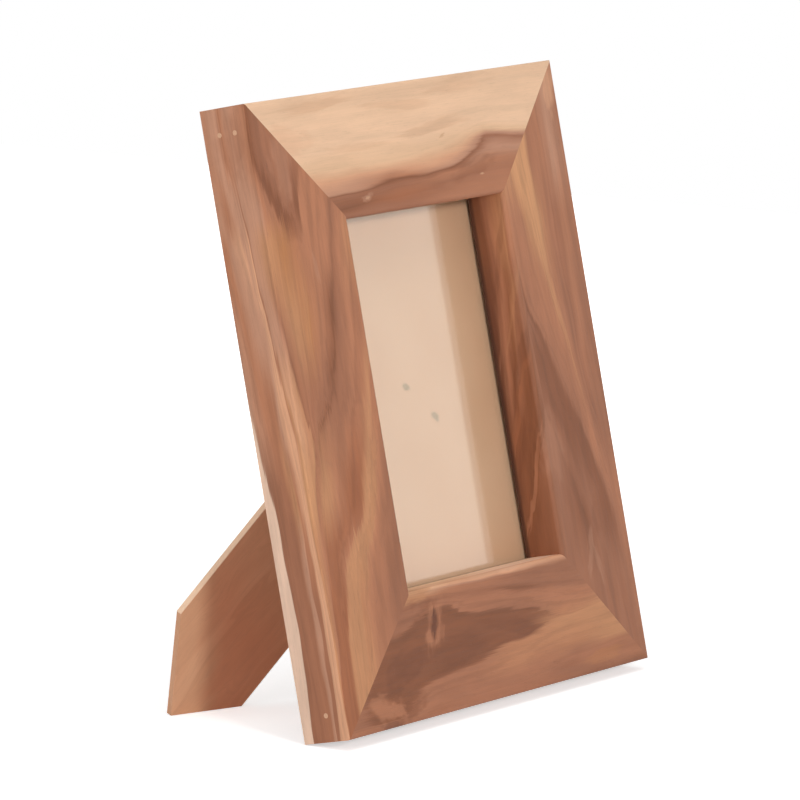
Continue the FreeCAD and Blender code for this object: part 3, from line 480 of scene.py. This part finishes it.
# The top rail: sapwood over a wavy dark line, and brown wood from there down to the opening.
make_rail_wood(
    "top", upright=False, ragged=1.2, figure=0.5,
    guides=[
        [(-118, 224), (118, 224)],
        [(-118, 232), (-20, 234), (30, 238), (60, 240), (118, 236)],
        [(-118, 240), (-50, 240.5), (-10, 242), (10, 243), (20, 244.5), (30, 246.5), (40, 249.5), (50, 253),
         (56, 255), (65, 254.5), (80, 252.5), (118, 250)],
        [(-118, 262), (0, 262), (60, 268), (118, 264)],
        [(-118, 312), (118, 312)],
    ],
    stations=[
        (-60, [(0, "mauve"), (0.5, "mauve"), (1.0, "umber"), (1.9, "mauve"), (1.98, "umber"),
               (2.04, "rose"), (2.25, "peach"), (2.5, "cream"), (2.9, "sapwood"), (4, "sapwood")]),
        (-15, [(0, "russet"), (0.6, "mauve"), (1.0, "russet"), (1.7, "mauve"), (1.93, "umber"),
               (2.0, "umber"), (2.06, "fawn"), (2.25, "peach"), (2.5, "cream"), (2.9, "sapwood"),
               (4, "sapwood")]),
        (25, [(0, "mauve"), (0.5, "fawn"), (1.0, "mauve"), (1.5, "fawn"), (1.95, "umber"), (2.05, "rose"),
              (2.2, "peach"), (2.45, "cream"), (2.85, "sapwood"), (4, "sapwood")]),
        (65, [(0, "fawn"), (0.6, "fawn"), (1.0, "clay"), (1.3, "fawn"), (1.7, "rose"), (1.96, "mauve"),
              (2.08, "rose"), (2.3, "cream"), (2.6, "sapwood"), (4, "sapwood")]),
    ],
    patches=[
        ("peach", 0.3, -98, 268, 20, 7, -8),
        ("honey", 0.2, -70, 281, 32, 2.5, 2),
        ("honey", 0.16, -10, 276, 26, 2.2, -2),
        ("honey", 0.14, 40, 281, 28, 3, 1),
        ("tan", 0.2, 15, 263, 28, 2.8, 3),
        ("tan", 0.16, -45, 259, 24, 2.4, -3),
        ("tan", 0.4, 22, 258, 2.6, 0.9, 24),
        ("umber", 0.35, 42, 242, 17, 5, 12),
        ("rose", 0.45, -43, 236, 4.4, 2.3, 20),
        ("cream", 0.35, -42.4, 236, 1.8, 1.2, 30),
        ("cream", 0.4, 47, 237.6, 1.6, 0.9, 0),
    ],
)

# The bottom rail: a knot in a tongue of dark heartwood, and a pale edge along the opening, partly paler wood
# and partly a painted highlight.
make_rail_wood(
    "bottom", upright=False, ragged=4.5, figure=0.8,
    guides=[
        [(-118, -6), (118, -6)],
        [(-118, 4), (20, 5), (45, 9), (60, 12), (104, 13), (118, 13)],
        [(-118, 4), (-85, 4), (-74, 6), (-66, 11), (-60, 13.5), (-50, 15.5), (-30, 17), (-10, 19.5),
         (0, 22), (10, 24), (20, 25), (32, 27.5), (40, 29), (54, 30), (118, 34)],
        [(-118, 30), (-82, 37), (-66, 40), (-58, 43.5), (-50, 47), (-43, 49), (-35, 48.2), (-26, 46.2),
         (-20, 44), (0, 41), (20, 38), (32, 35.5), (40, 33), (54, 31), (118, 36)],
        [(-118, 52), (-60, 54), (-30, 53), (-5, 50.5), (20, 47.5), (45, 44.5), (60, 42.5), (77, 41),
         (118, 40)],
        [(-118, 57), (118, 57)],
        [(-118, 82), (118, 82)],
    ],
    # From five growth lines up, over the edge at the opening, the pale tones are partly the wood's own and
    # partly a painted highlight on that edge, strongest towards the right end.
    stations=[
        (-108, [(0, "clay"), (1.0, "clay"), (2.0, "mauve"), (3.0, "mauve"), (6, "mauve")]),
        (-96, [(0, "clay"), (1.0, "clay"), (1.9, "mauve"), (2.03, "umber"), (3.0, "umber"), (3.3, "mauve"),
               (4, "mauve"), (6, "cream")]),
        (-60, [(0, "russet"), (1.0, "clay"), (1.9, "clay"), (2.03, "umber"), (2.97, "umber"),
               (3.1, "mauve"), (3.8, "mauve"), (4.3, "amber"), (5, "cream"), (6, "cream")]),
        (-25, [(0, "clay"), (0.8, "clay"), (1.2, "clay"), (1.92, "clay"), (2.03, "umber"), (2.97, "umber"),
               (3.08, "clay"), (3.8, "clay"), (4.05, "mauve"), (4.6, "fawn"), (4.85, "rose"), (5, "peach"),
               (5.5, "cream"), (6, "cream")]),
        (25, [(0, "russet"), (0.8, "clay"), (1.2, "clay"), (1.6, "amber"), (1.92, "amber"), (2.04, "umber"),
              (2.96, "umber"), (3.08, "mauve"), (3.5, "clay"), (3.85, "clay"), (4.0, "umber"),
              (4.2, "mauve"), (4.8, "mauve"), (5, "peach"), (5.2, "pale"), (6, "cream")]),
        (60, [(0, "umber"), (0.55, "mauve"), (0.9, "clay"), (1.0, "clay"), (1.3, "amber"), (2.0, "tan"),
              (3.0, "amber"), (3.6, "fawn"), (3.95, "fawn"), (4.1, "mauve"), (4.8, "mauve"), (5, "peach"),
              (5.2, "pale"), (6, "cream")]),
        (95, [(0, "umber"), (0.6, "clay"), (0.95, "clay"), (1.1, "tan"), (2.0, "tan"), (3.0, "tan"),
              (3.95, "fawn"), (4.1, "mauve"), (5, "rose"), (5.25, "pale"), (6, "sapwood")]),
    ],
    patches=[
        ("tan", 0.75, -58, 57.5, 13, 4.5, 4),
        ("dark", 0.3, -30, 27, 26, 9, 4),
        ("dark", 0.25, 12, 32, 24, 4, -12),
        ("umber", 0.7, -46, 45, 15, 8, 0),
        ("fawn", 0.8, -45, 40.5, 6.6, 13.5, -13),
        ("umber", 0.5, -40.6, 38, 1.6, 9, -16),
        ("umber", 0.85, -45.2, 41.4, 3.4, 9.2, -13),
        ("dark", 1.0, -45.2, 41.8, 2.0, 7.6, -13),
        ("umber", 0.7, -73, 9, 13, 6, 0),
        ("fawn", 0.85, -90, 10.6, 10.5, 5.6, -6),
        ("fawn", 0.8, -80, 8.4, 7, 3.2, -20),
        ("dark", 0.5, -84, 2.2, 9, 2.2, 0),
        ("dark", 0.4, -70, 25, 16, 8, 14),
        ("mauve", 0.6, 54, 6, 16, 4, 2),
        ("honey", 0.4, 84, 7, 16, 3, 0),
    ],
)


# ---- Glass ------------------------------------------------------------------------------------------------
# A pane of 2 mm float glass with ground edges, laid in the rabbet from behind. It mirrors the room a
# little, more at a slant. Light isn't bent in it, which leaves the mirror images of its two faces too far
# apart, so the back face mirrors more than the front.

GROUND_EDGE = 0.3
PLAY = 0.04
CLEAR_TINT = (0.975, 0.985, 0.975, 1.0)
MIRROR_TINT = (1.0, 0.93, 0.88, 1.0)
MIRRORED_HEAD_ON = 0.04
SLANT_POWER = 4.3
PANE_MIDDLE = (0.5, 1.5)
FRONT_SHARE = 0.65
BACK_SHARE = 1.35

leaning = Matrix.Translation((0.0, standing_edge.y, 0.0)) @ Matrix.Rotation(-LEAN, 4, "X")
upright = leaning.inverted()


def leaning_vertices(name):
    """A CAD node's vertices in the leaning frame, in millimetres."""
    return [(upright @ vertex.co) * METRE for vertex in frame["nodes"][name].data.vertices]


material, tree, shader = finish("float_glass")
tree.nodes.remove(shader)
clear = add(tree, "BsdfTransparent", {"Color": CLEAR_TINT})
mirror = add(tree, "BsdfGlossy", {"Color": MIRROR_TINT, "Roughness": 0.1})
slant = calc(tree, "POWER", add(tree, "LayerWeight", {"Blend": 0.5}).outputs["Facing"], SLANT_POWER)
inputs = {0: slant, 1: 1 - MIRRORED_HEAD_ON, 2: MIRRORED_HEAD_ON}
mirrored = add(tree, "Math", inputs, operation="MULTIPLY_ADD")
depth = leaning_place(tree)["Y"]
by_face = fade(tree, depth, *(part - RABBET_DEPTH for part in PANE_MIDDLE), FRONT_SHARE, BACK_SHARE)
share = calc(tree, "MULTIPLY", mirrored.outputs[0], by_face)
pane_mix = add(tree, "MixShader", {0: share, 1: clear.outputs[0], 2: mirror.outputs[0]})
output = next(node for node in tree.nodes if node.type == "OUTPUT_MATERIAL")
tree.links.new(pane_mix.outputs[0], output.inputs["Surface"])

corners = leaning_vertices("glass_pane")
low = Vector([min(place[axis] for place in corners) for axis in range(3)])
high = Vector([max(place[axis] for place in corners) for axis in range(3)])
shape = bmesh.new()
bmesh.ops.create_cube(shape, size=1.0)
bmesh.ops.scale(shape, vec=high - low - Vector((PLAY, 2 * PLAY, PLAY)), verts=shape.verts)
bmesh.ops.bevel(
    shape, geom=shape.edges[:], offset=GROUND_EDGE, affect="EDGES", segments=2, profile=0.5, material=-1
)
bmesh.ops.translate(shape, vec=(low + high) / 2, verts=shape.verts)
bmesh.ops.transform(shape, matrix=leaning @ Matrix.Scale(1 / METRE, 4), verts=shape.verts)
mesh = bpy.data.meshes.new("glass_pane_ground")
shape.to_mesh(mesh)
shape.free()
mesh.materials.append(material)
pane = bpy.data.objects.new("glass_pane_ground", mesh)
bpy.context.scene.collection.objects.link(pane)
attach(pane, "frame")
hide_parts("glass_pane")


# ---- Insert -----------------------------------------------------------------------------------------------
# A blank sheet of cream card between the glass and the board. It is smooth, with faint fibres, and has a soft
# spot of painted shade over each of the two rivet heads behind it, where they press into it.

CARD = (colour(228, 187, 155), colour(224, 181, 148))
CARD_CLOUD_SIZE = (45.0, 60.0, 45.0)
FLECK = colour(214, 172, 136)
FLECK_SIZE = (1.6, 1.6, 1.6)
FLECK_EDGE = (0.55, 0.75)
FLECK_SHADE = 0.12
RIVET_PRESS_SHADE = colour(164, 138, 104)
SPOT_HALVES = (3.4, 2.0, METRE)
SPOT_TURN = -35
SPOT_RIM = (0.4, 1.2)
SPOT_FRAY = 0.3
SPOT_SHADE = 0.72

material, tree, shader = finish("cream_card")
x, y, z = leaning_place(tree)
sheet = add(tree, "CombineXYZ", {0: x, 1: z, 2: y}).outputs[0]
flecks = noise(tree, sheet, FLECK_SIZE, detail=3.0)
clouds = noise(tree, sheet, CARD_CLOUD_SIZE, detail=2.0)
paper = blend(tree, fade(tree, clouds, *SPREAD), *CARD)
paper = blend(tree, fade(tree, flecks, *FLECK_EDGE, 0.0, FLECK_SHADE), paper, FLECK)
rivets = leaning_vertices("board_rivets")
between = sum(place.x for place in rivets) / len(rivets)
left_rivet = [place for place in rivets if place.x < between]
right_rivet = [place for place in rivets if place.x > between]
# Painted shade: a soft darker spot over each rivet head that presses into the card.
for rivet in (left_rivet, right_rivet):
    spot = sum(rivet, Vector()) / len(rivet)
    away = oval_mark(tree, sheet, (spot.x, spot.z, spot.y), SPOT_HALVES, SPOT_TURN)[1]
    away = calc(tree, "ADD", away, fade(tree, flecks, *SPREAD, -SPOT_FRAY, SPOT_FRAY))
    paper = blend(tree, fade(tree, away, *SPOT_RIM, SPOT_SHADE, 0.0), paper, RIVET_PRESS_SHADE)
cover(tree, shader, paper, flecks, strength=0.02, depth=0.00002)
shader.inputs["Roughness"].default_value = 0.7
shader.inputs["Specular IOR Level"].default_value = 0.25
coat_nodes(material, "photo_insert")


# ---- Backing board ----------------------------------------------------------------------------------------
# A sheet of 5 mm pressed fibreboard that fills the rabbet. It shows its screen-pressed side, a fine crossed
# weave in dark brown fibres.

SCREEN_PITCH = 1.3
WEAVE_RELIEF = 0.5
BOARD = (colour(136, 99, 68), colour(121, 85, 57))
BOARD_CLOUD_SIZE = (24.0, 30.0, 24.0)
BOARD_FIBRE = colour(166, 128, 92)
BOARD_FIBRE_SIZE = (0.7, 0.7, 0.7)
BOARD_FIBRE_EDGE = (0.5, 0.75)
BOARD_FIBRE_SHADE = 0.5
PIT = colour(92, 62, 42)
PIT_EDGE = (-1.0, 0.2)
PIT_SHADE = 0.35
BOARD_ROUGHNESS = (0.72, 0.9)

material, tree, shader = finish("pressed_fibreboard")
x, y, z = leaning_place(tree)
board = add(tree, "CombineXYZ", {0: x, 1: z, 2: y}).outputs[0]
fibres = noise(tree, board, BOARD_FIBRE_SIZE, detail=4.0, roughness=0.65)
clouds = noise(tree, board, BOARD_CLOUD_SIZE, detail=3.0)
threads = [calc(tree, "SINE", calc(tree, "MULTIPLY", side, 2 * math.pi / SCREEN_PITCH)) for side in (x, z)]
weave = calc(tree, "MULTIPLY", *threads)
pressed = blend(tree, fade(tree, clouds, *SPREAD), *BOARD)
pressed = blend(tree, fade(tree, fibres, *BOARD_FIBRE_EDGE, 0.0, BOARD_FIBRE_SHADE), pressed, BOARD_FIBRE)
pressed = blend(tree, fade(tree, weave, *PIT_EDGE, PIT_SHADE, 0.0), pressed, PIT)
relief = calc(tree, "ADD", calc(tree, "MULTIPLY", weave, WEAVE_RELIEF), fibres)
cover(tree, shader, pressed, relief, strength=0.5, depth=0.00015)
tree.links.new(fade(tree, fibres, *SPREAD, *BOARD_ROUGHNESS), shader.inputs["Roughness"])
shader.inputs["Specular IOR Level"].default_value = 0.2
coat_nodes(material, "backing_board")


# ---- Nails ------------------------------------------------------------------------------------------------
# Two brads at each top corner and one at each bottom corner, driven through the side rails and sunk. Pale
# putty fills each hole flush with the wood.

PUTTY = (colour(214, 170, 138), colour(190, 144, 112))
PUTTY_GRIT = 0.0004
PLATING_SIZE = 0.0014
BRUSH_MARK_SIZE = (0.006, 0.0002, 0.0002)
PLATING_DULLS = 0.08
BRUSH_MARK_EDGE = (0.4, 0.7)
BRUSH_MARK_DULLS = 0.1

material, tree, shader = finish("wood_filler")
coordinates = tree.nodes.new("ShaderNodeTexCoord").outputs["Object"]
grit = noise(tree, coordinates, [PUTTY_GRIT] * 3, detail=3.0)
putty = blend(tree, fade(tree, grit, *NARROW_SPREAD), *PUTTY)
cover(tree, shader, putty, grit, strength=0.3, depth=0.0001)
shader.inputs["Roughness"].default_value = 0.75
coat_nodes(material, "nail_fillers")


def make_steel(name, bright, dull, polish):
    """Zinc-plated steel with a mottled plating, brushed marks and small dents."""
    material, tree, shader = finish(name)
    coordinates = tree.nodes.new("ShaderNodeTexCoord").outputs["Object"]
    plating = noise(tree, coordinates, [PLATING_SIZE] * 3, detail=3.0)
    marks = noise(tree, coordinates, BRUSH_MARK_SIZE, detail=2.0)
    metal = blend(tree, fade(tree, plating, *NARROW_SPREAD), bright, dull)
    cover(tree, shader, metal, calc(tree, "ADD", plating, marks), strength=0.06, depth=0.00005)
    rough = fade(tree, plating, *SPREAD, polish, polish + PLATING_DULLS)
    rough = calc(tree, "ADD", rough, fade(tree, marks, *BRUSH_MARK_EDGE, 0.0, BRUSH_MARK_DULLS))
    tree.links.new(rough, shader.inputs["Roughness"])
    shader.inputs["Metallic"].default_value = 1.0
    return material


brad_steel = make_steel("bright_brad", colour(186, 186, 188), colour(170, 170, 174), polish=0.3)
coat_nodes(brad_steel, "corner_nails")


# ---- Turn buttons -----------------------------------------------------------------------------------------
# A stamped steel button in the middle of each rail's back holds the board in its rabbet. Each turns on a
# dome-headed screw, and both are zinc-plated.

button_steel = make_steel("zinc_plate", colour(184, 186, 190), colour(168, 170, 176), polish=0.32)
screw_steel = make_steel("zinc_screw", colour(174, 172, 166), colour(156, 154, 148), polish=0.36)
for side in ("top", "bottom", "left", "right"):
    coat_nodes(button_steel, f"turn_button_{side}")
    coat_nodes(screw_steel, f"turn_button_screw_{side}")


# ---- Hinge ------------------------------------------------------------------------------------------------
# A rolled steel hinge on a slant across the board, so that the leg comes out sideways and stands the frame
# upright or on its side. Two rivets hold each leaf, and a bent tab stops the leg.

hinge_steel = make_steel("hinge_plate", colour(178, 178, 176), colour(160, 160, 160), polish=0.34)
rivet_steel = make_steel("rivet", colour(188, 186, 180), colour(170, 168, 163), polish=0.3)
coat_nodes(hinge_steel, "hinge_board_leaf", "hinge_leg_leaf", "hinge_pin")
coat_nodes(rivet_steel, "board_rivets", "leg_rivets")


# ---- Leg --------------------------------------------------------------------------------------------------
# One flat board from the same log, with the grain down its length. Its tones hold painted light and shade:
# lighter by the hinge, a redder painted shade over the middle, and the plain tone over the corner of the foot
# past a slanted line. Its long edges are sawn square with a painted highlight along them, and its foot is cut
# to a point for either way of standing.

# The leg's tones: painted light by the hinge, a redder painted shade in the middle, and the plain tone on the
# foot's corner.
HINGE_END_PAINTED_LIGHT = (colour(230, 170, 134), colour(220, 158, 122))
MIDDLE_PAINTED_SHADE = (colour(217, 147, 112), colour(207, 135, 100))
FOOT_CORNER = (colour(218, 165, 129), colour(206, 151, 115))
EDGE_PAINTED_HIGHLIGHT = colour(250, 214, 182)
LIGHT_TO_SHADE = (75.0, 130.0)
SHADE_TO_CORNER = (132.0, 157.0)
WANDER = 5.0
LINES_PER_MILLIMETRE = 0.10
LINE_SWAY = 1.4
LEG_DRIFT_SIZE = (90.0, 16.0, 16.0)
BANDS_OFTEN = 0.6
EDGE_SKIN = (-0.5, -0.2)
EDGE_HIGHLIGHT_SHARE = 0.85

hinge = next(joint for joint in frame["joints"] if joint["name"] == "leg_hinge")
anchor = Vector(hinge["pos_m"])
pin_line = Vector(hinge["axis"]).normalized()
leg_places = [vertex.co - anchor for vertex in frame["nodes"]["easel_leg"].data.vertices]
middle = sum(leg_places, Vector()) / len(leg_places)
down = (middle - pin_line * middle.dot(pin_line)).normalized()
out = down.cross(pin_line)

material, tree, shader = finish("leg_board")
across, through, along = millimetres(tree, anchor, Matrix((pin_line, out, down)).transposed().to_euler())
grain = add(tree, "CombineXYZ", {0: along, 1: across, 2: through}).outputs[0]
drift = noise(tree, grain, LEG_DRIFT_SIZE)
line = calc(tree, "MULTIPLY", across, LINES_PER_MILLIMETRE)
line = calc(tree, "ADD", line, fade(tree, drift, *WIDE_SPREAD, -LINE_SWAY, LINE_SWAY))
bands = stripes(tree, line, BANDS_OFTEN, detail=2.0)
hinge_light, middle_shade, corner = (
    ramp(tree, bands, list(zip(WIDE_SPREAD, tones))) for tones in (HINGE_END_PAINTED_LIGHT, MIDDLE_PAINTED_SHADE, FOOT_CORNER)
)
# Painted light by the hinge, turning into the redder painted shade further down the leg.
painted = blend(tree, fade(tree, along, *LIGHT_TO_SHADE), hinge_light, middle_shade)
# The painted shade stops at a slanted line where the frame's shadow edge crosses the leg.
slanted = calc(tree, "SUBTRACT", along, across)
slanted = calc(tree, "ADD", slanted, fade(tree, drift, *WIDE_SPREAD, -WANDER, WANDER))
painted = blend(tree, fade(tree, slanted, *SHADE_TO_CORNER), painted, corner)
# A painted highlight along the long sawn edges.
reaches = [place.dot(pin_line) * METRE for place in leg_places]
from_middle = calc(tree, "SUBTRACT", across, (min(reaches) + max(reaches)) / 2)
past_edge = calc(tree, "SUBTRACT", calc(tree, "ABSOLUTE", from_middle), (max(reaches) - min(reaches)) / 2)
painted = blend(tree, fade(tree, past_edge, *EDGE_SKIN, 0.0, EDGE_HIGHLIGHT_SHARE), painted, EDGE_PAINTED_HIGHLIGHT)
oiled_wood(tree, shader, grain, line, painted, figure=0.35)
coat_nodes(material, "easel_leg")


# ---- Stage ------------------------------------------------------------------------------------------------
# A plain pale floor in a white surround, lit by four soft lamps. The camera stands well to the frame's left
# and a little above it.

WHITE = (1.0, 1.0, 1.0, 1.0)
ROOM_LIGHT = 0.27
FLOOR_GREY = (0.85, 0.85, 0.85, 1.0)
FLOOR_REACH = 1.6
FLOOR_DROP = 0.0002
GLOW_REACH = (0.15, 1.0)
GLOW = (0.55, 1.0)
low, high = cad_box
centre = (Vector(low) + Vector(high)) / 2


def seen(tree):
    """1 where a thing is looked at, even in a mirror or through glass, and 0 where it only gives light."""
    path = tree.nodes.new("ShaderNodeLightPath").outputs
    looked_at = calc(tree, "MAXIMUM", path["Is Camera Ray"], path["Is Glossy Ray"])
    return calc(tree, "MAXIMUM", looked_at, path["Is Transmission Ray"])


world = bpy.data.worlds.new("surround")
world.use_nodes = True
tree = world.node_tree
surround = tree.nodes["Background"]
surround.inputs["Color"].default_value = WHITE
tree.links.new(fade(tree, seen(tree), 0.0, 1.0, ROOM_LIGHT, 1.0), surround.inputs["Strength"])
bpy.context.scene.world = world

bpy.ops.mesh.primitive_plane_add(size=2 * FLOOR_REACH, location=(0.0, 0.0, low[2] - FLOOR_DROP))
floor = bpy.context.object
floor.name = "floor"
material, tree, shader = finish("pale_floor")
coordinates = tree.nodes.new("ShaderNodeTexCoord").outputs["Object"]
away = add(tree, "VectorMath", {0: coordinates}, operation="LENGTH").outputs["Value"]
glow = calc(tree, "MULTIPLY", seen(tree), fade(tree, away, *GLOW_REACH, *GLOW))
shader.inputs["Base Color"].default_value = FLOOR_GREY
shader.inputs["Roughness"].default_value = 0.9
shader.inputs["Emission Color"].default_value = WHITE
tree.links.new(glow, shader.inputs["Emission Strength"])
floor.data.materials.append(material)


def hang_lamp(name, place, size, power):
    """A square soft box that faces the object."""
    lamp = bpy.data.lights.new(name, "AREA")
    lamp.shape = "SQUARE"
    lamp.size = size
    lamp.energy = power
    holder = bpy.data.objects.new(name, lamp)
    holder.location = centre + Vector(place)
    holder.rotation_euler = (-Vector(place)).to_track_quat("-Z", "Y").to_euler()
    bpy.context.scene.collection.objects.link(holder)


hang_lamp("overhead_lamp", place=(-0.3, -0.4, 2.1), size=1.8, power=19.2)
hang_lamp("key_lamp", place=(-1.02, -2.26, 0.83), size=0.3, power=22.0)
hang_lamp("left_lamp", place=(-2.2, -0.3, 0.5), size=1.6, power=17.4)
hang_lamp("right_lamp", place=(1.9, -1.42, 0.22), size=1.2, power=5.2)

DISTANCE = 2.9945
AZIMUTH = math.radians(53.73)
ELEVATION = math.radians(8.83)
AIM = centre + Vector((-0.0009, 0.0, -0.0046))
FOCAL_LENGTH = 292.95
ahead = Vector((
    math.sin(AZIMUTH) * math.cos(ELEVATION),
    math.cos(AZIMUTH) * math.cos(ELEVATION),
    -math.sin(ELEVATION),
))
lens = bpy.data.cameras.new("camera")
lens.lens = FOCAL_LENGTH
lens.clip_end = 50.0
camera = bpy.data.objects.new("camera", lens)
camera.location = AIM - ahead * DISTANCE
camera.rotation_euler = ahead.to_track_quat("-Z", "Y").to_euler()
bpy.context.scene.collection.objects.link(camera)
bpy.context.scene.camera = camera
bpy.context.scene.view_settings.view_transform = "Standard"
